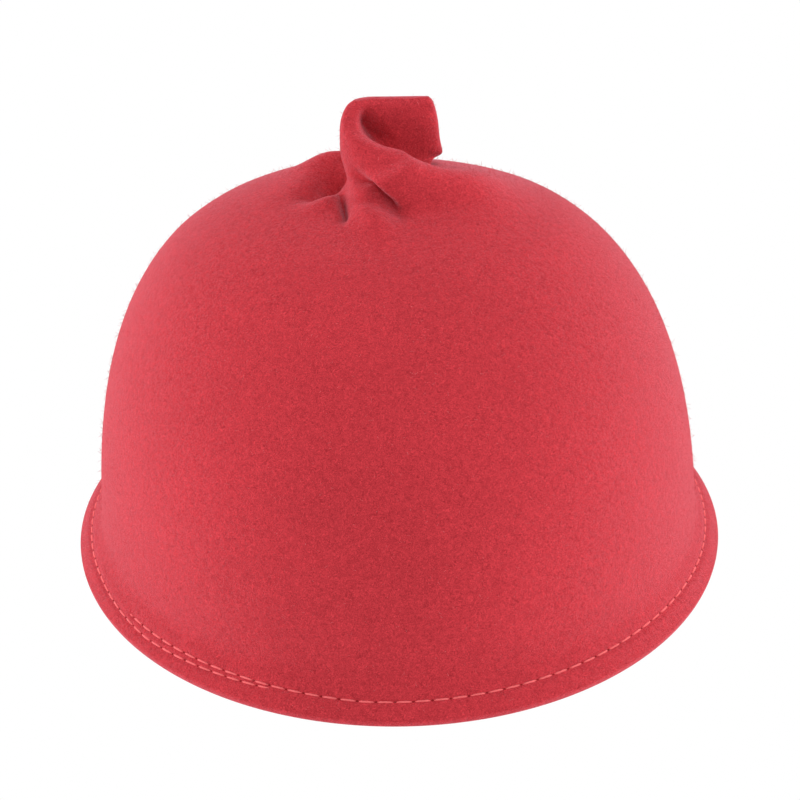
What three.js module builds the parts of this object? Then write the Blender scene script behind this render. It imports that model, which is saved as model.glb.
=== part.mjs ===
// A felt hat: a domed crown, a short flared brim whose edge is folded inside as a hem,
// and a crown top pulled up into a neck, twisted half round and rolled into a flat stem.
// It is one blocked piece of wool felt, so it is one solid. Millimetres, +Z up, the front towards -Y.
import * as THREE from 'three';

// Crown, outside
const HEAD_HALF_WIDTH = 85;
const HEAD_HALF_DEPTH = 102.9;
const CROWN_HEIGHT = 109.85;
const CROWN_LEAN = 3.05;
const SIDE_FULLNESS = 2.61;
const FRONT_FULLNESS = 1.85;
const LEAN_POWER = 1.5;

// Brim and its folded edge
const BRIM_FLARE = 6.7;
const BRIM_HEIGHT = 11;
const HEM_HEIGHT = 11.5;
const FOLD_RADIUS = 2.6;
const FLAT_WIDTH = 2;

// Felt
const FELT_THICKNESS = 2.4;
const HEM_LAYERS = 2;
const FLARED_HEM_SPREAD = 0.25;
const HEM_ROUNDING_ROWS = 0.12;

// Stem, above the shoulders of the crown
const STEM_HEIGHT = 24.3;
const STEM_REACH = 17.4;
const STEM_THICKNESS = 6.6;
const POCKET_TOP_ROW = 1.5;
const POCKET_TOP_DIP = 2;

// Folds round the foot of the stem
const FOLD_DEPTH = 4.6;
const FOLD_WIDTH = 5;
const INSIDE_DEPTH_SHARE = 0.9;
const INSIDE_EXTRA_WIDTH = 1;
const FOLD_SAMPLES = 40;
const FOLD_END_SHARE = 0.02;
const DIRECTION_SMOOTHING = 12;

// Mesh
const COLUMNS = 72;
const FOLD_ARC_STEPS = 3;
const ROW_STEP = 0.3;
const ROW_SEARCH_STEP = 0.01;
const COLUMN_ANGLE = 2 * Math.PI / COLUMNS;
const LEAST_BEND = 1e-6;

const radians = (degrees) => degrees * Math.PI / 180;

// Rows of the brim: share of the brim's height, share of the flare
const BRIM_ROWS = [
  { rise: FOLD_RADIUS / BRIM_HEIGHT, flare: 1 },
  { rise: 0.49, flare: 0.62 },
  { rise: 0.75, flare: 0.22 },
  { rise: 1, flare: 0.03 },
];

// Rows of the crown's wall, as shares of the crown's height
const CROWN_ROWS = [0.15, 0.24, 0.34, 0.45, 0.56, 0.66, 0.75, 0.825];

// Rows of the shoulders. rise is a share of the crown's height, x and the arms of the head's half width,
// y, front and back of its half depth, and the lifts of the stem's height. Angles are in degrees.
const SHOULDER_ROWS = [
  {
    rise: 0.892, x: 0.004, y: 0.000, heading: -1, right: 0.594, left: 0.594,
    rightBend: 0, leftBend: 0, front: 0.408, back: 0.408, rightLift: 0.000, leftLift: 0.000,
  },
  {
    rise: 0.931, x: 0.006, y: 0.003, heading: -4, right: 0.494, left: 0.488,
    rightBend: 3, leftBend: 3, front: 0.321, back: 0.321, rightLift: 0.016, leftLift: 0.016,
  },
  {
    rise: 0.958, x: 0.009, y: 0.003, heading: -12, right: 0.400, left: 0.376,
    rightBend: 12, leftBend: 8, front: 0.243, back: 0.238, rightLift: 0.082, leftLift: 0.062,
  },
  {
    rise: 0.974, x: 0.012, y: 0.000, heading: -30, right: 0.318, left: 0.271,
    rightBend: 32, leftBend: 20, front: 0.180, back: 0.165, rightLift: 0.222, leftLift: 0.117,
  },
];

// Rows of the stem. rise and the lifts are shares of the stem's height above the last shoulder row,
// x, y and the arms of its reach, outer and inner of its thickness. The arm that starts as the right
// one winds forwards and becomes the lip and the loop, and the left one becomes the panel behind it.
const STEM_ROWS = [
  {
    rise: 0.082, x: 0.057, y: 0.011, heading: -80, lip: 1.18, panel: 0.98, lipBend: 62,
    panelBend: 0, outer: 2.06, inner: 1.92, lipLift: 0.362, panelLift: 0.057, square: 2.1,
  },
  {
    rise: 0.160, x: 0.115, y: 0.032, heading: -128, lip: 1.16, panel: 0.89, lipBend: 124,
    panelBend: -14, outer: 1.54, inner: 1.49, lipLift: 0.395, panelLift: 0.061, square: 2.2,
  },
  {
    rise: 0.249, x: 0.044, y: 0.159, heading: -150, lip: 1.15, panel: 0.99, lipBend: 158,
    panelBend: -22, outer: 1.22, inner: 0.86, lipLift: 0.346, panelLift: 0.013, square: 2.3,
  },
  {
    rise: 0.387, x: -0.034, y: 0.218, heading: -161, lip: 1.03, panel: 0.977, lipBend: 148,
    panelBend: -26, outer: 1.00, inner: 0.70, lipLift: 0.247, panelLift: 0.008, square: 2.5,
  },
  {
    rise: 0.543, x: -0.092, y: 0.241, heading: -168, lip: 0.99, panel: 1.00, lipBend: 142,
    panelBend: -18, outer: 0.73, inner: 0.65, lipLift: 0.140, panelLift: 0.000, square: 2.7,
  },
  {
    rise: 0.700, x: -0.103, y: 0.259, heading: -176, lip: 0.84, panel: 0.99, lipBend: 118,
    panelBend: -8, outer: 0.545, inner: 0.576, lipLift: 0.050, panelLift: 0.000, square: 3.0,
  },
  {
    rise: 0.840, x: -0.103, y: 0.253, heading: -180, lip: 0.63, panel: 0.954, lipBend: 88,
    panelBend: -2, outer: 0.485, inner: 0.515, lipLift: 0.012, panelLift: 0.008, square: 3.0,
  },
  {
    rise: 0.947, x: -0.103, y: 0.247, heading: -182, lip: 0.46, panel: 0.908, lipBend: 62,
    panelBend: 0, outer: 0.394, inner: 0.394, lipLift: 0.000, panelLift: 0.012, square: 3.2,
  },
  {
    rise: 1.000, x: -0.103, y: 0.247, heading: -182, lip: 0.36, panel: 0.85, lipBend: 46,
    panelBend: 0, outer: 0.167, inner: 0.167, lipLift: 0.000, panelLift: 0.012, square: 3.4,
  },
];

// Folds of the felt, each along a path of [row, angle] places. Rows count from the first shoulder row,
// angles go round the crown in degrees. depth is a share of the fold depth, outwards where positive,
// width of the fold width, and fadeIn and fadeOut are shares of the path.
const FOLDS = [
  {
    name: 'sharp crease', depth: -0.62, width: 0.34, fadeIn: 0.2, fadeOut: 0.45,
    path: [[6.1, 302], [5.2, 305], [4.4, 306], [3.7, 300], [2.9, 288], [2.2, 286]],
  },
  {
    name: 'front buttress', depth: 0.80, width: 0.90, fadeIn: 0.3, fadeOut: 0.5,
    path: [[5.2, 298], [4.0, 292], [3.0, 277], [1.9, 274], [1.1, 275]],
  },
  {
    name: 'band valley', depth: -0.55, width: 1.20, fadeIn: 0.3, fadeOut: 0.4,
    path: [[3.9, 312], [3.7, 320], [3.4, 330], [2.9, 338]],
  },
  {
    name: 'short crease', depth: -0.42, width: 0.34, fadeIn: 0.3, fadeOut: 0.5,
    path: [[3.7, 277], [3.1, 263], [2.6, 258], [1.8, 255]],
  },
  {
    name: 'left ridge', depth: 0.50, width: 0.80, fadeIn: 0.3, fadeOut: 0.5,
    path: [[3.7, 262], [3.1, 244], [2.5, 232], [2.0, 229]],
  },
  {
    name: 'left hollow', depth: -0.85, width: 0.90, fadeIn: 0.2, fadeOut: 0.5,
    path: [[4.4, 264], [4.0, 258], [3.3, 238], [2.7, 219], [2.2, 212]],
  },
  {
    name: 'left shoulder', depth: 0.50, width: 1.00, fadeIn: 0.3, fadeOut: 0.5,
    path: [[4.2, 200], [3.3, 176], [2.9, 169], [2.3, 162]],
  },
  {
    name: 'loop hollow', depth: -0.50, width: 0.55, fadeIn: 0.3, fadeOut: 0.3,
    path: [[10.7, 62], [9.4, 73], [8.5, 85], [7.7, 99]],
  },
  {
    name: 'panel corner', depth: 0.50, width: 0.50, fadeIn: 0.4, fadeOut: 0.4,
    path: [[5.5, 170], [5.0, 176], [4.5, 180]],
  },
  {
    name: 'panel corner tip', depth: -0.30, width: 0.30, fadeIn: 0.4, fadeOut: 0.4,
    path: [[6.4, 180], [6.0, 180], [5.7, 180]],
  },
  {
    name: 'back crease', depth: -0.57, width: 0.64, fadeIn: 0.2, fadeOut: 0.5,
    path: [[5.0, 130], [3.5, 105], [1.8, 95]],
  },
  {
    name: 'back ridge', depth: 0.35, width: 0.80, fadeIn: 0.2, fadeOut: 0.5,
    path: [[4.5, 80], [3.0, 72], [1.6, 66]],
  },
  {
    name: 'back left crease', depth: -0.43, width: 0.52, fadeIn: 0.2, fadeOut: 0.5,
    path: [[4.8, 170], [3.2, 146], [1.9, 134]],
  },
];

// How far the crown's axis has leaned at a height
function leanAt(height) {
  return -CROWN_LEAN * Math.pow(Math.min(height / CROWN_HEIGHT, 1), LEAN_POWER);
}

// Half width and half depth of the plain dome at a share of its height
function domeAt(share) {
  const halfWidth = HEAD_HALF_WIDTH * Math.pow(1 - Math.pow(share, SIDE_FULLNESS), 1 / SIDE_FULLNESS);
  const halfDepth = HEAD_HALF_DEPTH * Math.pow(1 - Math.pow(share, FRONT_FULLNESS), 1 / FRONT_FULLNESS);
  return { halfWidth, halfDepth };
}

// A plain oval section of the brim or the crown
function ovalSection(height, flare) {
  const { halfWidth, halfDepth } = domeAt(height / CROWN_HEIGHT);
  return [height, leanAt(height), 0, 0, halfWidth + flare, halfWidth + flare, 0, 0,
    halfDepth + flare, halfDepth + flare, 0, 0, 2];
}

function shoulderSection(row) {
  const height = row.rise * CROWN_HEIGHT;
  return [height, row.x * HEAD_HALF_WIDTH + leanAt(height), row.y * HEAD_HALF_DEPTH, row.heading,
    row.right * HEAD_HALF_WIDTH, row.left * HEAD_HALF_WIDTH, row.rightBend, row.leftBend,
    row.front * HEAD_HALF_DEPTH, row.back * HEAD_HALF_DEPTH,
    row.rightLift * STEM_HEIGHT, row.leftLift * STEM_HEIGHT, 2];
}

function stemSection(row) {
  const foot = SHOULDER_ROWS[SHOULDER_ROWS.length - 1].rise * CROWN_HEIGHT;
  const height = foot + row.rise * STEM_HEIGHT;
  return [height, row.x * STEM_REACH + leanAt(height), row.y * STEM_REACH, row.heading,
    row.lip * STEM_REACH, row.panel * STEM_REACH, row.lipBend, row.panelBend,
    row.outer * STEM_THICKNESS, row.inner * STEM_THICKNESS,
    row.lipLift * STEM_HEIGHT, row.panelLift * STEM_HEIGHT, row.square];
}

// All sections from the brim to the stem's top edge. Each is height, x, y, heading, two arms, their
// bends, front and back half thickness, the lifts of the two tips, and how square the ends are.
const SECTIONS = [
  ...BRIM_ROWS.map((row) => ovalSection(row.rise * BRIM_HEIGHT, row.flare * BRIM_FLARE)),
  ...CROWN_ROWS.map((share) => ovalSection(share * CROWN_HEIGHT, 0)),
  ...SHOULDER_ROWS.map(shoulderSection),
  ...STEM_ROWS.map(stemSection),
];
const BRIM_TOP_ROW = BRIM_ROWS.length - 1;
const SHOULDER_START = BRIM_ROWS.length + CROWN_ROWS.length;
const TOP_ROW = SECTIONS.length - 1;

// A smooth curve through the entries of a list of equal-length arrays
function smoothBetween(list, position) {
  const last = list.length - 1;
  const start = Math.max(0, Math.min(Math.floor(position), last - 1));
  const f = position - start;
  const before = list[0].map((value, k) => 2 * value - list[1][k]);
  const after = list[last].map((value, k) => 2 * value - list[last - 1][k]);
  const entry = (i) => (i < 0 ? before : i > last ? after : list[i]);
  const [p0, p1, p2, p3] = [entry(start - 1), entry(start), entry(start + 1), entry(start + 2)];
  return p1.map((value, k) => 0.5 * (2 * value + (p2[k] - p0[k]) * f
    + (2 * p0[k] - 5 * value + 4 * p2[k] - p3[k]) * f * f
    + (3 * value - p0[k] - 3 * p2[k] + p3[k]) * f * f * f));
}

// A point of the unfolded surface. A section is a band along a bent spine: the angle picks how far
// along an arm the point lies and how far to the side of the spine.
function basePoint(row, angle) {
  const [height, x, y, heading, armA, armC, bendA, bendC, front, back, liftA, liftC, square] =
    smoothBetween(SECTIONS, row);
  const c = Math.cos(angle);
  const s = Math.sin(angle);
  const reach = Math.pow(Math.pow(Math.abs(c), square) + Math.pow(Math.abs(s), square), -1 / square);
  const along = Math.abs(reach * c);
  const across = reach * s;
  const onA = c > 0;
  const arm = onA ? armA : armC;
  const bend = radians(onA ? bendA : bendC) || LEAST_BEND;
  const start = radians(heading) + (onA ? 0 : Math.PI);
  const direction = start + bend * along;
  const side = onA ? 1 : -1;
  const offset = (across > 0 ? back : front) * across * side;
  return new THREE.Vector3(
    x + arm * (Math.sin(direction) - Math.sin(start)) / bend - Math.sin(direction) * offset,
    y - arm * (Math.cos(direction) - Math.cos(start)) / bend + Math.cos(direction) * offset,
    height + (onA ? liftA : liftC) * along * along,
  );
}

// The outward direction of the unfolded surface
function baseNormal(row, angle) {
  const low = Math.max(row - ROW_STEP, 0);
  const high = Math.min(row + ROW_STEP, TOP_ROW);
  const round = basePoint(row, angle + COLUMN_ANGLE).sub(basePoint(row, angle - COLUMN_ANGLE));
  const up = basePoint(high, angle).sub(basePoint(low, angle));
  return round.cross(up).normalize();
}

// A fold as sample points along its path, each with a direction and a share of the fold's strength
function foldStrokes(fold) {
  const path = fold.path.map(([row, angle]) => [row + SHOULDER_START, radians(angle)]);
  const samples = [];
  for (let i = 0; i < FOLD_SAMPLES; i += 1) {
    const [row, angle] = smoothBetween(path, (i / (FOLD_SAMPLES - 1)) * (path.length - 1));
    samples.push({ point: basePoint(row, angle), direction: baseNormal(row, angle) });
  }
  for (let pass = 0; pass < DIRECTION_SMOOTHING; pass += 1) {
    const old = samples.map((sample) => sample.direction.clone());
    for (let i = 1; i < FOLD_SAMPLES - 1; i += 1) {
      samples[i].direction.add(old[i]).add(old[i - 1]).add(old[i + 1]).normalize();
    }
  }
  const steps = samples.slice(1).map((sample, i) => sample.point.distanceTo(samples[i].point));
  const length = steps.reduce((sum, step) => sum + step, 0);
  let passed = 0;
  samples.forEach((sample, i) => {
    const before = i > 0 ? steps[i - 1] : 0;
    const after = i < steps.length ? steps[i] : 0;
    passed += before;
    const share = passed / length;
    const rising = (share + FOLD_END_SHARE) / fold.fadeIn;
    const falling = (1 + FOLD_END_SHARE - share) / fold.fadeOut;
    const ramp = Math.min(rising, falling, 1);
    sample.weight = ramp * ramp * (3 - 2 * ramp) * (before + after) / 2;
  });
  return { samples, depth: fold.depth * FOLD_DEPTH, width: fold.width * FOLD_WIDTH };
}
const STROKES = FOLDS.map(foldStrokes);

// How far the folds move a point. Each fold is a smooth sum along its path.
function foldShift(point, depthShare, extraWidth) {
  const shift = new THREE.Vector3();
  for (const stroke of STROKES) {
    const width = stroke.width + extraWidth;
    const scale = depthShare * stroke.depth / (width * Math.sqrt(Math.PI));
    for (const sample of stroke.samples) {
      const spread = point.distanceToSquared(sample.point) / (width * width);
      shift.addScaledVector(sample.direction, scale * sample.weight * Math.exp(-spread));
    }
  }
  return shift;
}

// A ring of points round the outside at a row
function outerRing(row) {
  const ring = [];
  for (let column = 0; column < COLUMNS; column += 1) {
    const point = basePoint(row, column * COLUMN_ANGLE);
    ring.push(point.add(foldShift(point, 1, 0)));
  }
  return ring;
}

// A ring of points round the inside at a row, a depth in from the unfolded outside
function innerRing(row, depth, level) {
  const ring = [];
  for (let column = 0; column < COLUMNS; column += 1) {
    const angle = column * COLUMN_ANGLE;
    const normal = baseNormal(row, angle);
    if (level) {
      normal.setZ(0).normalize();
    }
    const point = basePoint(row, angle).addScaledVector(normal, -depth);
    ring.push(point.add(foldShift(point, INSIDE_DEPTH_SHARE, INSIDE_EXTRA_WIDTH)));
  }
  return ring;
}

// Rows of a stretch of the surface, evenly spaced
function rowsBetween(from, to, steps) {
  return Array.from({ length: steps }, (unused, i) => from + (to - from) * i / steps);
}

// The folded edge: a rounded turn from the outside to a flat ring, and up again to the hem's inside
function foldedEdge(outside, inside) {
  const rings = [];
  const addRing = (angle, towardsOutside) => {
    rings.push(outside.map((outer, i) => {
      const middle = outer.clone().add(inside[i]).multiplyScalar(0.5);
      const half = outer.clone().sub(middle).setZ(0);
      const flatShare = FLAT_WIDTH / 2 / half.length();
      const share = flatShare + (1 - flatShare) * Math.cos(angle);
      const place = middle.addScaledVector(half, towardsOutside ? share : -share);
      return place.setZ(FOLD_RADIUS * (1 - Math.sin(angle)));
    }));
  };
  for (let step = FOLD_ARC_STEPS - 1; step >= 0; step -= 1) {
    addRing((1 - step / FOLD_ARC_STEPS) * Math.PI / 2, true);
  }
  const outerRings = rings.splice(0);
  for (let step = 0; step < FOLD_ARC_STEPS; step += 1) {
    addRing((1 - step / FOLD_ARC_STEPS) * Math.PI / 2, false);
  }
  return { outerRings, innerRings: rings };
}

// The row whose plain section lies at a height of the brim or the crown's wall
function rowAtHeight(height) {
  let row = 0;
  while (basePoint(row, 0).z < height) {
    row += ROW_SEARCH_STEP;
  }
  return row;
}

// Rings in order: the stem's top down the outside, round the folded edge and up the inside
function allRings() {
  const outsideRows = [
    ...rowsBetween(TOP_ROW, TOP_ROW - 1, 2),
    ...rowsBetween(TOP_ROW - 1, TOP_ROW - 4, 6),
    ...rowsBetween(TOP_ROW - 4, SHOULDER_START + 2, 28),
    ...rowsBetween(SHOULDER_START + 2, SHOULDER_START, 3),
    ...rowsBetween(SHOULDER_START, 0, SHOULDER_START),
  ];
  const hemThickness = HEM_LAYERS * FELT_THICKNESS;
  const hemTopRow = rowAtHeight(HEM_HEIGHT);
  const hemInside = BRIM_ROWS
    .filter((row) => row.rise * BRIM_HEIGHT < HEM_HEIGHT - FELT_THICKNESS / 2)
    .map((row, i) => innerRing(i, hemThickness * (1 + FLARED_HEM_SPREAD * row.flare), true));
  const outside = [...outsideRows.map(outerRing), outerRing(0)];
  const edge = foldedEdge(outside[outside.length - 1], hemInside[0]);
  const hemTop = [
    innerRing(hemTopRow - HEM_ROUNDING_ROWS, hemThickness, true),
    innerRing(hemTopRow, hemThickness - FELT_THICKNESS / 4, true),
    innerRing(hemTopRow + HEM_ROUNDING_ROWS / 2, FELT_THICKNESS, true),
  ];
  const insideRows = [
    ...rowsBetween(BRIM_TOP_ROW + 1, SHOULDER_START, SHOULDER_START - BRIM_TOP_ROW - 1),
    ...rowsBetween(SHOULDER_START, SHOULDER_START + POCKET_TOP_ROW, 3),
    SHOULDER_START + POCKET_TOP_ROW,
  ];
  const inside = insideRows.map((row) => innerRing(row, FELT_THICKNESS, false));
  return [...outside, ...edge.outerRings, ...edge.innerRings, ...hemInside, ...hemTop, ...inside];
}

// The closed skin: quads between the rings, with both ends closed
function feltGeometry() {
  const rings = allRings();
  const positions = rings.flatMap((ring) => ring.flatMap((point) => point.toArray()));
  const faces = [];
  const vertex = (ring, column) => ring * COLUMNS + ((column + COLUMNS) % COLUMNS);
  const addQuad = (a, b, c, d) => {
    faces.push(a, b, d, b, c, d);
  };
  for (let ring = 0; ring < rings.length - 1; ring += 1) {
    for (let column = 0; column < COLUMNS; column += 1) {
      addQuad(vertex(ring, column), vertex(ring + 1, column),
        vertex(ring + 1, column + 1), vertex(ring, column + 1));
    }
  }
  // The stem's top is narrow, so it is closed straight across from one side to the other
  for (let column = 0; column < COLUMNS / 2; column += 1) {
    const [a, b, c, d] = [column, column + 1, -column - 1, -column].map((place) => vertex(0, place));
    if (a !== d) {
      faces.push(a, c, d);
    }
    if (b !== c) {
      faces.push(a, b, c);
    }
  }
  // The pocket's top is closed with triangles to its middle
  const lastRing = rings.length - 1;
  const middle = rings[lastRing].reduce((sum, point) => sum.add(point), new THREE.Vector3());
  middle.divideScalar(COLUMNS).z -= POCKET_TOP_DIP;
  positions.push(...middle.toArray());
  for (let column = 0; column < COLUMNS; column += 1) {
    faces.push(vertex(lastRing, column + 1), vertex(lastRing, column), rings.length * COLUMNS);
  }
  const geometry = new THREE.BufferGeometry();
  geometry.setAttribute('position', new THREE.Float32BufferAttribute(positions, 3));
  geometry.setIndex(faces);
  geometry.computeVertexNormals();
  return geometry;
}

const felt = new THREE.MeshStandardMaterial({ color: 0xbe3a41, roughness: 0.95, metalness: 0 });
const feltBody = new THREE.Mesh(feltGeometry(), felt);
feltBody.name = 'felt_body';

const hat = new THREE.Group();
hat.add(feltBody);

export default hat;
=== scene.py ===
import math

import bpy
import numpy as np
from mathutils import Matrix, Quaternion, Vector


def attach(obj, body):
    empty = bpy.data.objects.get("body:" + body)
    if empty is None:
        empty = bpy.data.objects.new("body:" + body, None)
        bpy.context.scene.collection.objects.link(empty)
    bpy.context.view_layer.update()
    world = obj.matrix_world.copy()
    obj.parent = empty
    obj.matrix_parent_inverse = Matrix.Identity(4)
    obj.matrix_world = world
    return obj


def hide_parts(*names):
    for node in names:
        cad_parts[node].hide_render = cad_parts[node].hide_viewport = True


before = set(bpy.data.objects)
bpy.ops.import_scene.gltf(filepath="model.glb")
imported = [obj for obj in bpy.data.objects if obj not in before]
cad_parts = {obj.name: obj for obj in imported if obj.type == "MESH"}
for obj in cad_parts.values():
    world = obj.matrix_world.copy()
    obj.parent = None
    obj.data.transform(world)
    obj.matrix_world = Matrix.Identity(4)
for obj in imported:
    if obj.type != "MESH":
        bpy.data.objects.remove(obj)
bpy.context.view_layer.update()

BODY = "root"
CAD_NODE = "felt_body"
MILLIMETRE = 0.001
SEED = 7

# Crown, outside, in millimetres
HEAD_HALF_WIDTH = 85
HEAD_HALF_DEPTH = 102.9
CROWN_HEIGHT = 109.85
CROWN_LEAN = 3.05
SIDE_FULLNESS = 2.61
FRONT_FULLNESS = 1.85
LEAN_POWER = 1.5
OVAL_SQUARENESS = 2

# Brim and its folded edge
BRIM_FLARE = 6.7
BRIM_HEIGHT = 11
HEM_HEIGHT = 11.5
FOLD_RADIUS = 2.6
FLAT_WIDTH = 2

# Felt
FELT_THICKNESS = 2.4
HEM_LAYERS = 2
FLARED_HEM_SPREAD = 0.25
HEM_ROUNDING_ROWS = 0.12

# Stem, above the shoulders of the crown
STEM_HEIGHT = 24.3
STEM_REACH = 17.4
STEM_THICKNESS = 6.6
POCKET_TOP_ROW = 1.5
POCKET_TOP_DIP = 2

# Folds round the foot of the stem
FOLD_DEPTH = 4.6
FOLD_WIDTH = 5
INSIDE_DEPTH_SHARE = 0.9
INSIDE_EXTRA_WIDTH = 1
FOLD_SAMPLES = 40
FOLD_END_SHARE = 0.02
DIRECTION_SMOOTHING = 12
ROW_STEP = 0.3
ANGLE_STEP = math.radians(5)
LEAST_BEND = 1e-6

# How finely the skin is drawn and sampled. The close rings of the stem start at a shoulder row.
COLUMNS = 340
STEM_TOP_RINGS = 10
STEM_RINGS = 108
SHOULDER_RINGS = 22
CROWN_RINGS = 60
BRIM_RINGS = 40
BRIM_RING_TOP_ROW = 4.0
CLOSE_RINGS_START = 2
INSIDE_RINGS = 22
EDGE_ARC_RINGS = 8
BRIM_SAMPLES = 200
STITCH_SAMPLES = 900
HEIGHT_SAMPLES = 1201

# Stitching
STITCH_PITCH = 4.9
STITCH_LENGTH = 4.3
STITCH_HALF_WIDTH = 0.3
STITCH_HALF_HEIGHT = 0.27
STITCH_SIT = 0.02
GROOVE_DEPTH = 0.6
GROOVE_WIDTH = 0.7
PUCKER_SHARE = 0.3
# The needle holes' dark patches are painted shade; this is their radius
HOLE_SHADE_RADIUS = 0.38
THREAD_SIDES = 6

# Nap. A fibre's turns lie between a low and a high value about its own X, Y and Z, in radians.
FIBRE_LENGTH = 1.5
FIBRE_HALF_WIDTH = 0.035
FIBRE_BEND = 0.35
FIBRE_SIDES = 3
FIBRES_PER_SQUARE_METRE = 120000.0
FIBRE_FACING = ((0, 0, 0), (0, 0, 2 * math.pi))
FIBRE_LYING = ((-0.6, -0.85, 0), (0.6, 0.1, 0))
SMALLEST_FIBRE = 0.5
LARGEST_FIBRE = 1.3

# Grain of the wool: how strongly its clumps, fibres and broad patches show
FIBRES_IN_COLOUR = 0.85
FIBRES_IN_RELIEF = 0.5
GRAIN_DARKEST_AT = 0.38
GRAIN_LIGHTEST_AT = 0.62
PATCH_FINENESS = 22.0
PATCH_DARKEST_AT = 0.3
PATCH_LIGHTEST_AT = 0.7
PATCH_DARKEST_TONE = 0.96
PATCH_LIGHTEST_TONE = 1.04
WOOL_ROUGHNESS = 0.95
WOOL_SPECULAR = 0.05
SHEEN_ROUGHNESS = 0.3

# Stage and camera: places in metres, lens in millimetres, roll in degrees
FLOOR_SIZE = 8.0
SEEN_WHITE = 1.0
ROOM_LIGHT = 0.37
FLOOR_LIGHT = 1.6
CAMERA_PLACE = (0.0, -0.8157, 0.4404)
CAMERA_TARGET = (0.0, 0.0, 0.06)
CAMERA_LENS = 143.78
CAMERA_ROLL = -0.88
CAMERA_SHIFT = (0.00455, -0.0744)
CAMERA_CLIP = (0.01, 50)


def named_rows(columns, rows):
    """A table whose rows are read by the names of its columns."""
    names = columns.split()
    return [dict(zip(names, row)) for row in rows]


# Finishes. Colours are screen values, clumps and fibres are noise scales, and relief is in metres.
FINISHES = named_rows(
    "name dark light clumps fibres relief sheen tint",
    [
        ("wool_felt", (154, 38, 46), (214, 64, 73), 650.0, 1400.0, 0.0006, 0.36, (1.0, 0.62, 0.76, 1)),
        ("sewing_thread", (212, 82, 86), (240, 118, 120), 900.0, 3500.0, 0.0001, 0.5, (1.0, 0.8, 0.82, 1)),
        # The needle holes' colour is painted shade: a dark red standing in for the shade inside each hole
        ("needle_hole_felt", (116, 24, 28), (146, 36, 40), 650.0, 1400.0, 0.0001, 0.1, (1.0, 0.7, 0.7, 1)),
        ("loose_wool", (176, 48, 56), (206, 68, 77), 650.0, 1400.0, 0.00005, 0.5, (1.0, 0.8, 0.84, 1)),
    ],
)

# Softboxes: place and side in metres, power in watts
SOFTBOXES = named_rows(
    "name place side power",
    [
        ("left_softbox", (-1.6, 0.25, 0.4), 1.3, 34),
        ("right_softbox", (1.6, 0.2, 0.4), 1.3, 32),
        ("top_softbox", (0.1, 0.5, 1.6), 1.2, 8),
        ("front_softbox", (0.0, -1.2, 1.5), 1.0, 11),
    ],
)

# Repeated shapes, from end to end: place along, lift, half width, half height, as shares of their size
STITCH_STATIONS = [
    (-1, -1, 0, 0),
    (-0.93, -0.5, 0.55, 0.6),
    (-0.6, 0.2, 0.95, 0.95),
    (0, 0.35, 1, 1),
    (0.6, 0.2, 0.95, 0.95),
    (0.93, -0.5, 0.55, 0.6),
    (1, -1, 0, 0),
]
# The dark patch of painted shade in each needle hole
HOLE_SHADE_STATIONS = [
    (-1, 0, 0, 0),
    (-0.7, 0, 0.7, 0.2),
    (0, 0, 1, 0.25),
    (0.7, 0, 0.7, 0.2),
    (1, 0, 0, 0),
]
FIBRE_STATIONS = [
    (0, 0, 0, 0),
    (0.05, 0, 1, 1),
    (0.55, 0.3, 0.8, 0.8),
    (1, 1, 0, 0),
]

# Rows of the brim: share of the brim's height, share of the flare
BRIM_ROWS = named_rows(
    "rise flare",
    [
        (FOLD_RADIUS / BRIM_HEIGHT, 1),
        (0.49, 0.62),
        (0.75, 0.22),
        (1, 0.03),
    ],
)

# Rows of the crown's wall, as shares of the crown's height
CROWN_ROWS = [0.15, 0.24, 0.34, 0.45, 0.56, 0.66, 0.75, 0.825]

# Rows of the shoulders. rise is a share of the crown's height, x and the arms of the head's half width,
# y, front and back of its half depth, and the lifts of the stem's height. Angles are in degrees.
SHOULDER_ROWS = named_rows(
    "rise x y heading right left rightBend leftBend front back rightLift leftLift",
    [
        (0.892, 0.004, 0.0, -1, 0.594, 0.594, 0, 0, 0.408, 0.408, 0.0, 0.0),
        (0.931, 0.006, 0.003, -4, 0.494, 0.488, 3, 3, 0.321, 0.321, 0.016, 0.016),
        (0.958, 0.009, 0.003, -12, 0.4, 0.376, 12, 8, 0.243, 0.238, 0.082, 0.062),
        (0.974, 0.012, 0.0, -30, 0.318, 0.271, 32, 20, 0.18, 0.165, 0.222, 0.117),
    ],
)

# Rows of the stem. rise and the lifts are shares of the stem's height above the last shoulder row,
# x, y and the arms of its reach, outer and inner of its thickness. The arm that starts as the right
# one winds forwards and becomes the lip and the loop, and the left one becomes the panel behind it.
STEM_ROWS = named_rows(
    "rise x y heading lip panel lipBend panelBend outer inner lipLift panelLift square",
    [
        (0.082, 0.057, 0.011, -80, 1.18, 0.98, 62, 0, 2.06, 1.92, 0.362, 0.057, 2.1),
        (0.16, 0.115, 0.032, -128, 1.16, 0.89, 124, -14, 1.54, 1.49, 0.395, 0.061, 2.2),
        (0.249, 0.044, 0.159, -150, 1.15, 0.99, 158, -22, 1.22, 0.86, 0.346, 0.013, 2.3),
        (0.387, -0.034, 0.218, -161, 1.03, 0.977, 148, -26, 1.0, 0.7, 0.247, 0.008, 2.5),
        (0.543, -0.092, 0.241, -168, 0.99, 1.0, 142, -18, 0.73, 0.65, 0.14, 0.0, 2.7),
        (0.7, -0.103, 0.259, -176, 0.84, 0.99, 118, -8, 0.545, 0.576, 0.05, 0.0, 3.0),
        (0.84, -0.103, 0.253, -180, 0.63, 0.954, 88, -2, 0.485, 0.515, 0.012, 0.008, 3.0),
        (0.947, -0.103, 0.247, -182, 0.46, 0.908, 62, 0, 0.394, 0.394, 0.0, 0.012, 3.2),
        (1.0, -0.103, 0.247, -182, 0.36, 0.85, 46, 0, 0.167, 0.167, 0.0, 0.012, 3.4),
    ],
)

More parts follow.
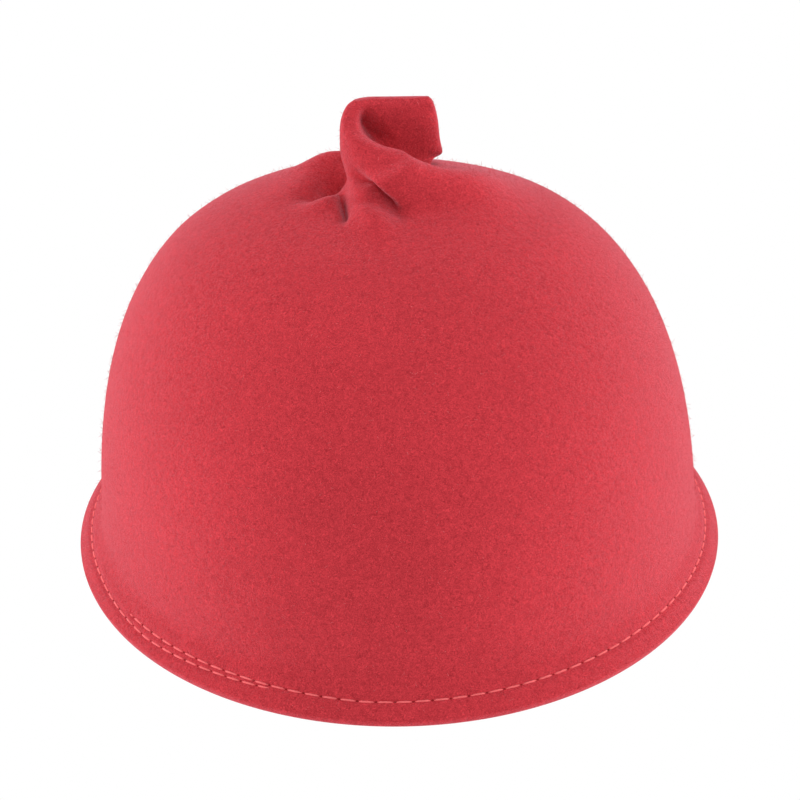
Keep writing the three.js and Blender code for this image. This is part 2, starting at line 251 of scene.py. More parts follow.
# Folds of the felt, each along a path of [row, angle] places. Rows count from the first shoulder row,
# angles go round the crown in degrees. depth is a share of the fold depth, outwards where positive,
# width of the fold width, and fadeIn and fadeOut are shares of the path.
FOLDS = named_rows(
    "name depth width fadeIn fadeOut path",
    [
        (
            "sharp crease", -0.62, 0.34, 0.2, 0.45,
            [(6.1, 302), (5.2, 305), (4.4, 306), (3.7, 300), (2.9, 288), (2.2, 286)],
        ),
        (
            "front buttress", 0.8, 0.9, 0.3, 0.5,
            [(5.2, 298), (4.0, 292), (3.0, 277), (1.9, 274), (1.1, 275)],
        ),
        ("band valley", -0.55, 1.2, 0.3, 0.4, [(3.9, 312), (3.7, 320), (3.4, 330), (2.9, 338)]),
        ("short crease", -0.42, 0.34, 0.3, 0.5, [(3.7, 277), (3.1, 263), (2.6, 258), (1.8, 255)]),
        ("left ridge", 0.5, 0.8, 0.3, 0.5, [(3.7, 262), (3.1, 244), (2.5, 232), (2.0, 229)]),
        (
            "left hollow", -0.85, 0.9, 0.2, 0.5,
            [(4.4, 264), (4.0, 258), (3.3, 238), (2.7, 219), (2.2, 212)],
        ),
        ("left shoulder", 0.5, 1.0, 0.3, 0.5, [(4.2, 200), (3.3, 176), (2.9, 169), (2.3, 162)]),
        ("loop hollow", -0.5, 0.55, 0.3, 0.3, [(10.7, 62), (9.4, 73), (8.5, 85), (7.7, 99)]),
        ("panel corner", 0.5, 0.5, 0.4, 0.4, [(5.5, 170), (5.0, 176), (4.5, 180)]),
        ("panel corner tip", -0.3, 0.3, 0.4, 0.4, [(6.4, 180), (6.0, 180), (5.7, 180)]),
        ("back crease", -0.57, 0.64, 0.2, 0.5, [(5.0, 130), (3.5, 105), (1.8, 95)]),
        ("back ridge", 0.35, 0.8, 0.2, 0.5, [(4.5, 80), (3.0, 72), (1.6, 66)]),
        ("back left crease", -0.43, 0.52, 0.2, 0.5, [(4.8, 170), (3.2, 146), (1.9, 134)]),
    ],
)

# Narrow slits at the bottom of the sharpest folds, in the same columns as the folds
SLITS = named_rows(
    "name depth width fadeIn fadeOut path",
    [
        (
            "crease slit", -0.6, 0.16, 0.4, 0.6,
            [(5.6, 303), (4.8, 305), (4.0, 303), (3.3, 294), (2.6, 287)],
        ),
        ("short slit", -0.45, 0.17, 0.3, 0.5, [(3.7, 277), (3.1, 263), (2.6, 258), (2.0, 255)]),
        ("left slit", -0.5, 0.4, 0.3, 0.6, [(4.5, 266), (4.1, 262), (3.5, 244), (2.8, 222), (2.3, 213)]),
        ("loop slit", -0.4, 0.35, 0.3, 0.4, [(10.7, 62), (9.4, 73), (8.5, 85), (7.7, 99)]),
    ],
)

# The stitch line round the brim, with its two ends running side by side for a stretch at the front left
STITCH_LINE = named_rows(
    "angle height",
    [
        (213, 6.3),
        (227, 6.5),
        (241, 6.7),
        (253, 6.5),
        (264, 6.2),
        (279, 6.4),
        (298, 6.7),
        (320, 6.8),
        (345, 6.3),
        (390, 6.2),
        (450, 6.3),
        (520, 6.2),
        (560, 5.8),
        (572, 5.2),
        (580, 4.9),
        (588, 5.3),
        (597, 5.7),
        (606, 6.0),
    ],
)


def lean_at(height):
    """How far the crown's axis has leaned at a height."""
    return -CROWN_LEAN * min(height / CROWN_HEIGHT, 1) ** LEAN_POWER


def oval_section(height, flare):
    """A plain oval section of the brim or the crown."""
    share = height / CROWN_HEIGHT
    half_width = HEAD_HALF_WIDTH * (1 - share**SIDE_FULLNESS) ** (1 / SIDE_FULLNESS) + flare
    half_depth = HEAD_HALF_DEPTH * (1 - share**FRONT_FULLNESS) ** (1 / FRONT_FULLNESS) + flare
    arms = [half_width, half_width]
    depths = [half_depth, half_depth]
    return [height, lean_at(height), 0, 0, *arms, 0, 0, *depths, 0, 0, OVAL_SQUARENESS]


def shoulder_section(row):
    """A section where the crown narrows towards the stem."""
    height = row["rise"] * CROWN_HEIGHT
    return [
        height,
        row["x"] * HEAD_HALF_WIDTH + lean_at(height),
        row["y"] * HEAD_HALF_DEPTH,
        row["heading"],
        row["right"] * HEAD_HALF_WIDTH,
        row["left"] * HEAD_HALF_WIDTH,
        row["rightBend"],
        row["leftBend"],
        row["front"] * HEAD_HALF_DEPTH,
        row["back"] * HEAD_HALF_DEPTH,
        row["rightLift"] * STEM_HEIGHT,
        row["leftLift"] * STEM_HEIGHT,
        OVAL_SQUARENESS,
    ]


def stem_section(row):
    """A section of the wound stem."""
    height = SHOULDER_ROWS[-1]["rise"] * CROWN_HEIGHT + row["rise"] * STEM_HEIGHT
    return [
        height,
        row["x"] * STEM_REACH + lean_at(height),
        row["y"] * STEM_REACH,
        row["heading"],
        row["lip"] * STEM_REACH,
        row["panel"] * STEM_REACH,
        row["lipBend"],
        row["panelBend"],
        row["outer"] * STEM_THICKNESS,
        row["inner"] * STEM_THICKNESS,
        row["lipLift"] * STEM_HEIGHT,
        row["panelLift"] * STEM_HEIGHT,
        row["square"],
    ]


# Each section lists its height, x, y, heading, arms, bends, front, back, lifts and squareness
SECTIONS = np.array(
    [oval_section(row["rise"] * BRIM_HEIGHT, row["flare"] * BRIM_FLARE) for row in BRIM_ROWS]
    + [oval_section(share * CROWN_HEIGHT, 0) for share in CROWN_ROWS]
    + [shoulder_section(row) for row in SHOULDER_ROWS]
    + [stem_section(row) for row in STEM_ROWS],
    dtype=float,
)
BRIM_TOP_ROW = len(BRIM_ROWS) - 1
SHOULDER_START = len(BRIM_ROWS) + len(CROWN_ROWS)
TOP_ROW = len(SECTIONS) - 1


def smooth_between(table, position):
    """A smooth curve through the rows of an array."""
    last = len(table) - 1
    start = max(0, min(int(math.floor(position)), last - 1))
    f = position - start

    def entry(i):
        if i < 0:
            return 2 * table[0] - table[1]
        if i > last:
            return 2 * table[last] - table[last - 1]
        return table[i]

    p0, p1, p2, p3 = entry(start - 1), entry(start), entry(start + 1), entry(start + 2)
    return 0.5 * (
        2 * p1
        + (p2 - p0) * f
        + (2 * p0 - 5 * p1 + 4 * p2 - p3) * f * f
        + (3 * p1 - p0 - 3 * p2 + p3) * f**3
    )


def base_points(row, angles):
    """Points of the unfolded surface: a section is a band along a bent spine with two arms."""
    section = smooth_between(SECTIONS, row)
    height, x, y, heading, right, left, right_bend, left_bend = section[:8]
    front, back, right_lift, left_lift, square = section[8:]
    angles = np.asarray(angles, dtype=float)
    c, s = np.cos(angles), np.sin(angles)
    reach = (np.abs(c) ** square + np.abs(s) ** square) ** (-1 / square)
    along = np.abs(reach * c)
    across = reach * s
    on_right = c > 0
    arm = np.where(on_right, right, left)
    bend = np.radians(np.where(on_right, right_bend, left_bend))
    bend = np.where(np.abs(bend) < LEAST_BEND, LEAST_BEND, bend)
    start = np.radians(heading) + np.where(on_right, 0, math.pi)
    direction = start + bend * along
    side = np.where(on_right, 1.0, -1.0)
    offset = np.where(across > 0, back, front) * across * side
    return np.stack(
        [
            x + arm * (np.sin(direction) - np.sin(start)) / bend - np.sin(direction) * offset,
            y - arm * (np.cos(direction) - np.cos(start)) / bend + np.cos(direction) * offset,
            height + np.where(on_right, right_lift, left_lift) * along * along,
        ],
        axis=-1,
    )


def base_normals(row, angles):
    """Outward directions of the unfolded surface."""
    low, high = max(row - ROW_STEP, 0), min(row + ROW_STEP, TOP_ROW)
    around = base_points(row, angles + ANGLE_STEP) - base_points(row, angles - ANGLE_STEP)
    up = base_points(high, angles) - base_points(low, angles)
    normals = np.cross(around, up)
    return normals / np.linalg.norm(normals, axis=-1, keepdims=True)


def fold_stroke(fold):
    """A fold as points along its path, with a direction and a share of its strength at each."""
    path = np.array([[row + SHOULDER_START, math.radians(angle)] for row, angle in fold["path"]])
    points, directions = [], []
    for i in range(FOLD_SAMPLES):
        row, angle = smooth_between(path, i / (FOLD_SAMPLES - 1) * (len(path) - 1))
        points.append(base_points(row, angle))
        directions.append(base_normals(row, angle))
    points, directions = np.array(points), np.array(directions)
    for _ in range(DIRECTION_SMOOTHING):
        old = directions.copy()
        directions[1:-1] = 2 * old[1:-1] + old[:-2] + old[2:]
        directions /= np.linalg.norm(directions, axis=1, keepdims=True)
    steps = np.linalg.norm(np.diff(points, axis=0), axis=1)
    share = np.concatenate([[0], np.cumsum(steps)]) / steps.sum()
    spacing = np.zeros(FOLD_SAMPLES)
    spacing[:-1] += steps / 2
    spacing[1:] += steps / 2
    rising = (share + FOLD_END_SHARE) / fold["fadeIn"]
    falling = (1 + FOLD_END_SHARE - share) / fold["fadeOut"]
    ramp = np.minimum(rising, falling)
    ramp = np.minimum(ramp, 1)
    weights = ramp * ramp * (3 - 2 * ramp) * spacing
    return points, directions * weights[:, None], fold["depth"] * FOLD_DEPTH, fold["width"] * FOLD_WIDTH


STROKES = [fold_stroke(fold) for fold in FOLDS + SLITS]


def fold_shift(points, depth_share=1.0, extra_width=0.0):
    """How far the folds move points of the unfolded surface."""
    shift = np.zeros_like(points)
    for centres, pushes, depth, width in STROKES:
        width = width + extra_width
        squared_distance = ((points[..., None, :] - centres) ** 2).sum(-1)
        push = np.exp(-squared_distance / width**2) @ pushes
        shift += depth_share * depth / (width * math.sqrt(math.pi)) * push
    return shift


BRIM_SAMPLE_ROWS = np.linspace(0, BRIM_RING_TOP_ROW, BRIM_SAMPLES)
BRIM_SAMPLE_HEIGHTS = np.array([smooth_between(SECTIONS, row)[0] for row in BRIM_SAMPLE_ROWS])
STITCH_ANGLES = np.array([row["angle"] for row in STITCH_LINE], dtype=float)
STITCH_HEIGHTS = np.array([row["height"] for row in STITCH_LINE])
STITCH_DEGREES = np.linspace(STITCH_ANGLES[0], STITCH_ANGLES[-1], STITCH_SAMPLES)


def stitch_line():
    """Points along the stitch line, their outward directions and their distances along the line."""
    heights = np.interp(STITCH_DEGREES, STITCH_ANGLES, STITCH_HEIGHTS)
    rows = np.interp(heights, BRIM_SAMPLE_HEIGHTS, BRIM_SAMPLE_ROWS)
    points, normals = [], []
    for degree, row in zip(STITCH_DEGREES, rows):
        angle = np.array([math.radians(degree)])
        normal = base_normals(row, angle)
        point = base_points(row, angle)
        points.append((point - (GROOVE_DEPTH - STITCH_SIT) * normal)[0])
        normals.append(normal[0])
    points, normals = np.array(points), np.array(normals)
    steps = np.linalg.norm(np.diff(points, axis=0), axis=1)
    return points, normals, np.concatenate([[0], np.cumsum(steps)])


STITCH_POINTS, STITCH_NORMALS, STITCH_DISTANCES = stitch_line()
STITCH_COUNT = int(round(STITCH_DISTANCES[-1] / STITCH_PITCH)) + 1
STITCH_STEP = STITCH_DISTANCES[-1] / (STITCH_COUNT - 1)


def groove_shift(points, normals, angles):
    """The stitching pulls the felt in along its line, most at the needle holes between the stitches."""
    # The line runs on past a full turn, so a place can lie on it twice
    depth = np.zeros(len(points))
    for turn in (0, 360):
        degrees = np.degrees(angles) + turn
        line = np.interp(degrees, STITCH_ANGLES, STITCH_HEIGHTS)
        on_line = (degrees >= STITCH_ANGLES[0]) & (degrees <= STITCH_ANGLES[-1])
        distance = np.interp(degrees, STITCH_DEGREES, STITCH_DISTANCES)
        on_stitch = (1 + np.cos(2 * math.pi * distance / STITCH_STEP)) / 2
        pull = GROOVE_DEPTH * (1 - PUCKER_SHARE * on_stitch)
        near = np.exp(-(((points[:, 2] - line) / GROOVE_WIDTH) ** 2))
        depth = np.maximum(depth, np.where(on_line, pull * near, 0))
    return -depth[:, None] * normals


ANGLES = np.arange(COLUMNS) * 2 * math.pi / COLUMNS


def outer_ring(row):
    """A ring of the folded outside, with the groove of the stitching where it is near the brim."""
    points = base_points(row, ANGLES)
    ring = points + fold_shift(points)
    if row < BRIM_RING_TOP_ROW:
        normals = base_normals(row, ANGLES)
        ring = ring + groove_shift(points, normals, ANGLES)
    return ring


def inner_ring(row, depth, level):
    """A ring of the inside, measured in from the outside, level in the hem."""
    normals = base_normals(row, ANGLES)
    if level:
        normals[:, 2] = 0
        normals /= np.linalg.norm(normals, axis=1, keepdims=True)
    points = base_points(row, ANGLES) - depth * normals
    return points + fold_shift(points, INSIDE_DEPTH_SHARE, INSIDE_EXTRA_WIDTH)


def folded_edge(outside, inside):
    """The rounded turn from the outside to the flat ring below, and up to the hem's inside."""
    middle = (outside + inside) / 2
    half = outside - middle
    half[:, 2] = 0
    flat = (FLAT_WIDTH / 2 / np.linalg.norm(half, axis=1))[:, None]
    rings = []
    turns = [math.pi / 2 * step / EDGE_ARC_RINGS for step in range(1, EDGE_ARC_RINGS + 1)]
    for side, arc in ((1, turns), (-1, turns[::-1])):
        for angle in arc:
            ring = middle + side * half * (flat + (1 - flat) * math.cos(angle))
            ring[:, 2] = FOLD_RADIUS * (1 - math.sin(angle))
            rings.append(ring)
    return rings


def row_at_height(height):
    """The row at which the surface reaches a height."""
    rows = np.linspace(0, SHOULDER_START, HEIGHT_SAMPLES)
    heights = [smooth_between(SECTIONS, row)[0] for row in rows]
    return float(np.interp(height, heights, rows))


def skin_rings():
    """Rings from the stem's top down the outside, round the folded edge and up the inside."""
    spans = [
        (TOP_ROW, TOP_ROW - 1, STEM_TOP_RINGS),
        (TOP_ROW - 1, SHOULDER_START + CLOSE_RINGS_START, STEM_RINGS),
        (SHOULDER_START + CLOSE_RINGS_START, SHOULDER_START, SHOULDER_RINGS),
        (SHOULDER_START, BRIM_RING_TOP_ROW, CROWN_RINGS),
        (BRIM_RING_TOP_ROW, 0, BRIM_RINGS),
    ]
    rows = [row for high, low, rings in spans for row in np.linspace(high, low, rings + 1)[:-1]] + [0.0]
    outside = [outer_ring(row) for row in rows]
    hem = HEM_LAYERS * FELT_THICKNESS
    hem_flat_top = HEM_HEIGHT - FELT_THICKNESS / 2
    hem_rows = [row for row in BRIM_ROWS if row["rise"] * BRIM_HEIGHT < hem_flat_top]
    hem_inside = [
        inner_ring(i, hem * (1 + FLARED_HEM_SPREAD * row["flare"]), True)
        for i, row in enumerate(hem_rows)
    ]
    edge = folded_edge(outside[-1], hem_inside[0])
    hem_top = row_at_height(HEM_HEIGHT)
    hem_end = [
        inner_ring(hem_top - HEM_ROUNDING_ROWS, hem, True),
        inner_ring(hem_top, hem - FELT_THICKNESS / 4, True),
        inner_ring(hem_top + HEM_ROUNDING_ROWS / 2, FELT_THICKNESS, True),
    ]
    inside_rows = np.linspace(BRIM_TOP_ROW + 1, SHOULDER_START + POCKET_TOP_ROW, INSIDE_RINGS)
    inside = [inner_ring(row, FELT_THICKNESS, False) for row in inside_rows]
    return outside + edge + hem_inside + hem_end + inside, len(outside)


def skin_faces(ring_count):
    """Faces between the rings, across the stem's top, and round the point that closes the pocket."""
    ring, column = np.meshgrid(np.arange(ring_count - 1), np.arange(COLUMNS), indexing="ij")
    beside = (column + 1) % COLUMNS
    corners = [
        ring * COLUMNS + column,
        (ring + 1) * COLUMNS + column,
        (ring + 1) * COLUMNS + beside,
        ring * COLUMNS + beside,
    ]
    faces = np.stack(corners, axis=-1).reshape(-1, 4).tolist()
    for i in range(COLUMNS // 2):
        strip = [i, i + 1, (-i - 1) % COLUMNS, (-i) % COLUMNS]
        faces.append([corner for k, corner in enumerate(strip) if corner not in strip[:k]])
    last_ring = (ring_count - 1) * COLUMNS
    pocket_top = ring_count * COLUMNS
    for i in range(COLUMNS):
        faces.append([last_ring + (i + 1) % COLUMNS, last_ring + i, pocket_top])
    return faces


def skin_mesh():
    """The closed skin as one mesh in metres, with the share of nap that each place carries."""
    rings, outside_count = skin_rings()
    pocket_top = rings[-1].mean(axis=0)
    pocket_top[2] -= POCKET_TOP_DIP
    points = np.concatenate(rings + [[pocket_top]]) * MILLIMETRE
    mesh = bpy.data.meshes.new("felt_skin")
    mesh.from_pydata(points.tolist(), [], skin_faces(len(rings)))
    mesh.shade_smooth()
    nap = mesh.attributes.new("nap_share", "FLOAT", "POINT")
    heights = points[:, 2] / MILLIMETRE
    on_outside = np.arange(len(points)) < outside_count * COLUMNS
    nap.data.foreach_set("value", np.where(on_outside & (heights > FOLD_RADIUS), 1.0, 0.0))
    return mesh


def new_object(name, data):
    """An object that is linked into the scene."""
    made = bpy.data.objects.new(name, data)
    bpy.context.scene.collection.objects.link(made)
    return made


def path_object(name, points, normals):
    """An edge chain that carries the felt's outward direction."""
    mesh = bpy.data.meshes.new(name)
    edges = [(i, i + 1) for i in range(len(points) - 1)]
    mesh.from_pydata((points * MILLIMETRE).tolist(), edges, [])
    outward = mesh.attributes.new("outward", "FLOAT_VECTOR", "POINT")
    outward.data.foreach_set("vector", normals.ravel())
    return new_object(name, mesh)


def lengthened(points, extra):
    """A path with one more point past each end."""
    before = points[0] - points[1]
    after = points[-1] - points[-2]
    first = points[0] + before / np.linalg.norm(before) * extra
    last = points[-1] + after / np.linalg.norm(after) * extra
    return np.concatenate([[first], points, [last]])


def rounded_bar(name, shares, size, sides):
    """A closed bar along X, pointed at both ends. Its stations are shares of its size."""
    stations = [[share * measure for share, measure in zip(row, size)] for row in shares]
    first, last = stations[0], stations[-1]
    points, faces = [(first[0], 0, first[1])], []
    for x, z, half_width, half_height in stations[1:-1]:
        for i in range(sides):
            angle = 2 * math.pi * i / sides
            points.append((x, half_width * math.cos(angle), z + half_height * math.sin(angle)))
    points.append((last[0], 0, last[1]))
    rings = len(stations) - 2
    for i in range(sides):
        j = (i + 1) % sides
        faces.append((0, 1 + j, 1 + i))
        for ring in range(rings - 1):
            low, high = 1 + ring * sides, 1 + (ring + 1) * sides
            faces.append((low + i, low + j, high + j, high + i))
        top = 1 + (rings - 1) * sides
        faces.append((len(points) - 1, top + i, top + j))
    mesh = bpy.data.meshes.new(name)
    mesh.from_pydata([tuple(c * MILLIMETRE for c in point) for point in points], [], faces)
    mesh.shade_smooth()
    return new_object(name, mesh)


def stitch_shape():
    """One stitch, its ends dipping into the felt."""
    size = (STITCH_LENGTH / 2, STITCH_HALF_HEIGHT, STITCH_HALF_WIDTH, STITCH_HALF_HEIGHT)
    return rounded_bar("stitch_shape", STITCH_STATIONS, size, THREAD_SIDES)


def hole_shape():
    """A dark patch of painted shade at the bottom of one needle hole."""
    return rounded_bar("hole_shape", HOLE_SHADE_STATIONS, [HOLE_SHADE_RADIUS] * 4, THREAD_SIDES)


def fibre_shape():
    """One loose fibre, from its root to its bent tip."""
    size = (FIBRE_LENGTH, FIBRE_BEND, FIBRE_HALF_WIDTH, FIBRE_HALF_WIDTH)
    return rounded_bar("fibre_shape", FIBRE_STATIONS, size, FIBRE_SIDES)


def node_adder(tree):
    """A function that adds a node to a tree with its links, values and settings."""

    def add(kind, links=None, values=None, **settings):
        node = tree.nodes.new(kind)
        for key, value in settings.items():
            setattr(node, key, value)
        for key, value in (values or {}).items():
            node.inputs[key].default_value = value
        for key, source in (links or {}).items():
            tree.links.new(source, node.inputs[key])
        return node

    return add


def new_tree(name, sockets):
    """A geometry tree with named inputs; returns the tree and a function that adds nodes."""
    tree = bpy.data.node_groups.new(name, "GeometryNodeTree")
    tree.interface.new_socket("Geometry", in_out="INPUT", socket_type="NodeSocketGeometry")
    for label, kind in sockets:
        tree.interface.new_socket(label, in_out="INPUT", socket_type=kind)
    tree.interface.new_socket("Geometry", in_out="OUTPUT", socket_type="NodeSocketGeometry")
    return tree, node_adder(tree)


def finish_tree(tree, add, instances, material_socket):
    """Ends a tree with real copies in one material."""
    real = add("GeometryNodeRealizeInstances", {"Geometry": instances})
    painted = add("GeometryNodeSetMaterial", {"Geometry": real.outputs[0], "Material": material_socket})
    add("NodeGroupOutput", {0: painted.outputs[0]})
    return tree


def row_tree():
    """Sets a shape at even steps along a path, its X along the path and its Z outwards."""
    sockets = [
        ("Shape", "NodeSocketObject"),
        ("Count", "NodeSocketInt"),
        ("Material", "NodeSocketMaterial"),
    ]
    tree, add = new_tree("row of shapes", sockets)
    given = add("NodeGroupInput")
    curve = add("GeometryNodeMeshToCurve", {"Mesh": given.outputs["Geometry"]})
    even = add("GeometryNodeResampleCurve", {"Curve": curve.outputs[0], "Count": given.outputs["Count"]})
    shape = add("GeometryNodeObjectInfo", {"Object": given.outputs["Shape"]})
    outward = add(
        "GeometryNodeInputNamedAttribute",
        values={"Name": "outward"},
        data_type="FLOAT_VECTOR",
    )
    tangent = add("GeometryNodeInputTangent")
    upright = add(
        "FunctionNodeAlignRotationToVector",
        {"Vector": outward.outputs["Attribute"]},
        axis="Z",
    )
    turned = add(
        "FunctionNodeAlignRotationToVector",
        {"Rotation": upright.outputs[0], "Vector": tangent.outputs[0]},
        axis="X",
        pivot_axis="Z",
    )
    placed = add(
        "GeometryNodeInstanceOnPoints",
        {
            "Points": even.outputs[0],
            "Instance": shape.outputs["Geometry"],
            "Rotation": turned.outputs[0],
        },
    )
    return finish_tree(tree, add, placed.outputs[0], given.outputs["Material"])


def random_turn(add, limits, seed):
    """A turn picked at random between two limits."""
    low, high = limits
    picked = add(
        "FunctionNodeRandomValue",
        values={0: low, 1: high, "Seed": seed},
        data_type="FLOAT_VECTOR",
    )
    return add("FunctionNodeEulerToRotation", {0: picked.outputs[0]}).outputs[0]


def turned_by(add, rotation, turn):
    """A rotation with one more turn about its own axes."""
    turned = add(
        "FunctionNodeRotateRotation",
        {"Rotation": rotation, "Rotate By": turn},
        rotation_space="LOCAL",
    )
    return turned.outputs[0]


def nap_tree():
    """Scatters short bent fibres over the outside of a skin, each lying at its own angle."""
    sockets = [
        ("Fibre", "NodeSocketObject"),
        ("Density", "NodeSocketFloat"),
        ("Seed", "NodeSocketInt"),
        ("Material", "NodeSocketMaterial"),
    ]
    tree, add = new_tree("felt nap", sockets)
    given = add("NodeGroupInput")
    share = add("GeometryNodeInputNamedAttribute", values={"Name": "nap_share"}, data_type="FLOAT")
    density = add(
        "ShaderNodeMath",
        {0: share.outputs["Attribute"], 1: given.outputs["Density"]},
        operation="MULTIPLY",
    )
    spots = add(
        "GeometryNodeDistributePointsOnFaces",
        {
            "Mesh": given.outputs["Geometry"],
            "Density": density.outputs[0],
            "Seed": given.outputs["Seed"],
        },
    )
    fibre = add("GeometryNodeObjectInfo", {"Object": given.outputs["Fibre"]})
    facing = random_turn(add, FIBRE_FACING, SEED)
    lying = random_turn(add, FIBRE_LYING, SEED + 1)
    turned = turned_by(add, spots.outputs["Rotation"], facing)
    tilted = turned_by(add, turned, lying)
    size = add(
        "FunctionNodeRandomValue",
        values={2: SMALLEST_FIBRE, 3: LARGEST_FIBRE, "Seed": SEED + 2},
        data_type="FLOAT",
    )
    placed = add(
        "GeometryNodeInstanceOnPoints",
        {
            "Points": spots.outputs["Points"],
            "Instance": fibre.outputs["Geometry"],
            "Rotation": tilted,
            "Scale": size.outputs[1],
        },
    )
    return finish_tree(tree, add, placed.outputs[0], given.outputs["Material"])


def made_by(tree, source, name, values):
    """The plain mesh that a tree makes from a source object, as a new piece."""
    modifier = source.modifiers.new("maker", "NODES")
    modifier.node_group = tree
    for item in tree.interface.items_tree:
        if item.item_type == "SOCKET" and item.in_out == "INPUT" and item.name in values:
            modifier[item.identifier] = values[item.name]
    graph = bpy.context.evaluated_depsgraph_get()
    mesh = bpy.data.meshes.new_from_object(source.evaluated_get(graph))
    source.modifiers.remove(modifier)
    mesh.name = name
    for attribute in [a.name for a in mesh.attributes if a.name in ("outward", "nap_share")]:
        mesh.attributes.remove(mesh.attributes[attribute])
    return new_object(name, mesh)


def srgb(red, green, blue):
    """A colour given in 0 to 255 screen values."""
    channels = []
    for value in (red, green, blue):
        value /= 255
        channels.append(value / 12.92 if value <= 0.04045 else ((value + 0.055) / 1.055) ** 2.4)
    return (*channels, 1)


def felt_grain_group():
    """Matted wool: clumps of 1 to 2 mm, finer fibres over them, and faint broad patches."""
    group = bpy.data.node_groups.new("felt grain", "ShaderNodeTree")
    for label in ("Clump Scale", "Fibre Scale", "Patch Scale"):
        group.interface.new_socket(label, in_out="INPUT", socket_type="NodeSocketFloat")
    for label in ("Mottle", "Relief", "Patch"):
        group.interface.new_socket(label, in_out="OUTPUT", socket_type="NodeSocketFloat")
    add = node_adder(group)
    given = add("NodeGroupInput")
    place = add("ShaderNodeTexCoord")

    def noise(scale, detail, roughness, distortion):
        return add(
            "ShaderNodeTexNoise",
            {"Vector": place.outputs["Object"], "Scale": given.outputs[scale]},
            {"Detail": detail, "Roughness": roughness, "Distortion": distortion},
        )

    clumps = noise("Clump Scale", detail=3.0, roughness=0.6, distortion=0.6)
    fibres = noise("Fibre Scale", detail=4.0, roughness=0.7, distortion=2.5)
    patches = noise("Patch Scale", detail=2.0, roughness=0.5, distortion=0.2)

    def clumps_and_fibres(fibre_share):
        return add(
            "ShaderNodeMix",
            {"A": clumps.outputs[0], "B": fibres.outputs[0]},
            {"Factor": fibre_share},
            data_type="FLOAT",
        )

    mottle = clumps_and_fibres(FIBRES_IN_COLOUR)
    contrast = add(
        "ShaderNodeMapRange",
        {"Value": mottle.outputs[0]},
        {"From Min": GRAIN_DARKEST_AT, "From Max": GRAIN_LIGHTEST_AT},
    )
    relief = clumps_and_fibres(FIBRES_IN_RELIEF)
    add(
        "NodeGroupOutput",
        {"Mottle": contrast.outputs[0], "Relief": relief.outputs[0], "Patch": patches.outputs[0]},
    )
    return group


def empty_material(name):
    """A material without nodes; returns it and a function that adds nodes."""
    material = bpy.data.materials.new(name)
    material.use_nodes = True
    material.node_tree.nodes.clear()
    return material, node_adder(material.node_tree)


def wool_colour(add, felt, finish):
    """A colour that runs from dark to light with the grain, and varies a little in broad patches."""
    mixed = add(
        "ShaderNodeMix",
        {"Factor": felt.outputs["Mottle"]},
        {"A": srgb(*finish["dark"]), "B": srgb(*finish["light"])},
        data_type="RGBA",
    )
    tone = add(
        "ShaderNodeMapRange",
        {"Value": felt.outputs["Patch"]},
        {
            "From Min": PATCH_DARKEST_AT,
            "From Max": PATCH_LIGHTEST_AT,
            "To Min": PATCH_DARKEST_TONE,
            "To Max": PATCH_LIGHTEST_TONE,
        },
    )
    toned = add(
        "ShaderNodeMix",
        {"A": mixed.outputs["Result"], "B": tone.outputs[0]},
        {"Factor": 1.0},
        data_type="RGBA",
        blend_type="MULTIPLY",
    )
    return toned.outputs["Result"]


def felt_like(finish, grain):
    """A woolly material with the grain of felt, a low relief and a soft sheen."""
    material, add = empty_material(finish["name"])
    felt = add(
        "ShaderNodeGroup",
        values={
            "Clump Scale": finish["clumps"],
            "Fibre Scale": finish["fibres"],
            "Patch Scale": PATCH_FINENESS,
        },
        node_tree=grain,
    )
    colour = wool_colour(add, felt, finish)
    bump = add(
        "ShaderNodeBump",
        {"Height": felt.outputs["Relief"]},
        {"Strength": 1.0, "Distance": finish["relief"]},
    )
    shader = add(
        "ShaderNodeBsdfPrincipled",
        {"Base Color": colour, "Normal": bump.outputs[0]},
        {
            "Roughness": WOOL_ROUGHNESS,
            "Specular IOR Level": WOOL_SPECULAR,
            "Sheen Weight": finish["sheen"],
            "Sheen Roughness": SHEEN_ROUGHNESS,
            "Sheen Tint": finish["tint"],
        },
    )
    add("ShaderNodeOutputMaterial", {"Surface": shader.outputs[0]})
    return material


def lit_from(add, kind, seen, given_off):
    """White light that has one strength to the camera and another to the hat."""
    path = add("ShaderNodeLightPath")
    strength = add(
        "ShaderNodeMix",
        {"Factor": path.outputs["Is Camera Ray"]},
        {"A": given_off, "B": seen},
        data_type="FLOAT",
    )
    glow = add(kind, {"Strength": strength.outputs[0]}, {"Color": (1, 1, 1, 1)})
    return glow.outputs[0]


def row_piece(name, shape, tree, points, normals, count, material):
    """A shape repeated along a path, as one piece."""
    path = path_object(name + "_path", points, normals)
    piece = made_by(tree, path, name, {"Shape": shape, "Count": count, "Material": material})
    for helper in (path, shape):
        bpy.data.objects.remove(helper)
    return piece


def stitch_pieces(thread, painted_hole_shade):
    """The stitches, and dark patches of painted shade in the needle holes half a step before and after
    each of them.
    """
    tree = row_tree()
    points, normals = STITCH_POINTS, STITCH_NORMALS
    stitches = row_piece("stitches", stitch_shape(), tree, points, normals, STITCH_COUNT, thread)
    points = lengthened(points, STITCH_STEP / 2)
    normals = np.concatenate([normals[:1], normals, normals[-1:]])
    # Dark patches of painted shade, standing in for the shade inside the needle holes
    hole_shade_patches = row_piece("needle_holes", hole_shape(), tree, points, normals, STITCH_COUNT + 1, painted_hole_shade)
    return stitches, hole_shade_patches


def nap_piece(skin, wool):
    """The loose fibres on the outside of the skin."""
    fibre = fibre_shape()
    values = {"Fibre": fibre, "Density": FIBRES_PER_SQUARE_METRE, "Seed": SEED, "Material": wool}
    nap = made_by(nap_tree(), skin, "nap", values)
    skin.data.attributes.remove(skin.data.attributes["nap_share"])
    bpy.data.objects.remove(fibre)
    return nap


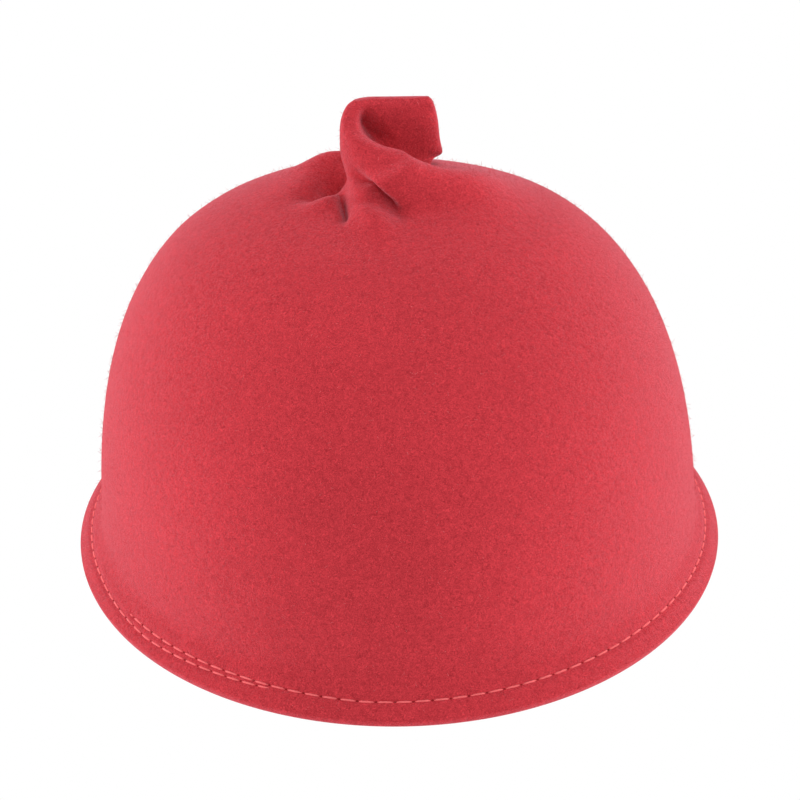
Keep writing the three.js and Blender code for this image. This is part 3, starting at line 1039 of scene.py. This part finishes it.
def build_pieces():
    """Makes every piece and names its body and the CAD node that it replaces."""
    grain = felt_grain_group()
    # The third finish is painted shade for the needle holes
    felt, thread, painted_hole_shade, wool = [felt_like(finish, grain) for finish in FINISHES]
    skin = new_object("felt", skin_mesh())
    skin.data.materials.append(felt)
    stitches, hole_shade_patches = stitch_pieces(thread, painted_hole_shade)
    nap = nap_piece(skin, wool)
    for piece in (skin, stitches, hole_shade_patches, nap):
        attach(piece, BODY)
        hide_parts(CAD_NODE)


def build_stage():
    """The pale floor and the room's light."""
    half = FLOOR_SIZE / 2
    mesh = bpy.data.meshes.new("floor")
    corners = [(-half, -half, 0), (half, -half, 0), (half, half, 0), (-half, half, 0)]
    mesh.from_pydata(corners, [], [(0, 1, 2, 3)])
    material, add = empty_material("pale_floor")
    glow = lit_from(add, "ShaderNodeEmission", SEEN_WHITE, FLOOR_LIGHT)
    add("ShaderNodeOutputMaterial", {"Surface": glow})
    mesh.materials.append(material)
    floor = new_object("floor", mesh)
    world = bpy.data.worlds.new("studio")
    world.use_nodes = True
    world.node_tree.nodes.clear()
    add = node_adder(world.node_tree)
    glow = lit_from(add, "ShaderNodeBackground", SEEN_WHITE, ROOM_LIGHT)
    add("ShaderNodeOutputWorld", {"Surface": glow})
    bpy.context.scene.world = world
    bpy.context.scene.view_settings.view_transform = "Standard"


def facing_target(place):
    """The turn that points a lamp or the camera at the hat."""
    return (Vector(CAMERA_TARGET) - Vector(place)).to_track_quat("-Z", "Y")


def build_lights():
    """The softboxes round the hat."""
    for row in SOFTBOXES:
        lamp = bpy.data.lights.new(row["name"], "AREA")
        lamp.shape = "SQUARE"
        lamp.size = row["side"]
        lamp.energy = row["power"]
        box = new_object(row["name"], lamp)
        box.location = row["place"]
        box.rotation_euler = facing_target(row["place"]).to_euler()


def build_camera():
    """The camera of the photograph."""
    data = bpy.data.cameras.new("camera")
    data.lens = CAMERA_LENS
    data.shift_x, data.shift_y = CAMERA_SHIFT
    data.clip_start, data.clip_end = CAMERA_CLIP
    camera = new_object("camera", data)
    camera.location = CAMERA_PLACE
    turn = facing_target(CAMERA_PLACE) @ Quaternion((0, 0, 1), math.radians(CAMERA_ROLL))
    camera.rotation_euler = turn.to_euler()
    bpy.context.scene.camera = camera


build_camera()
build_stage()
build_lights()
build_pieces()
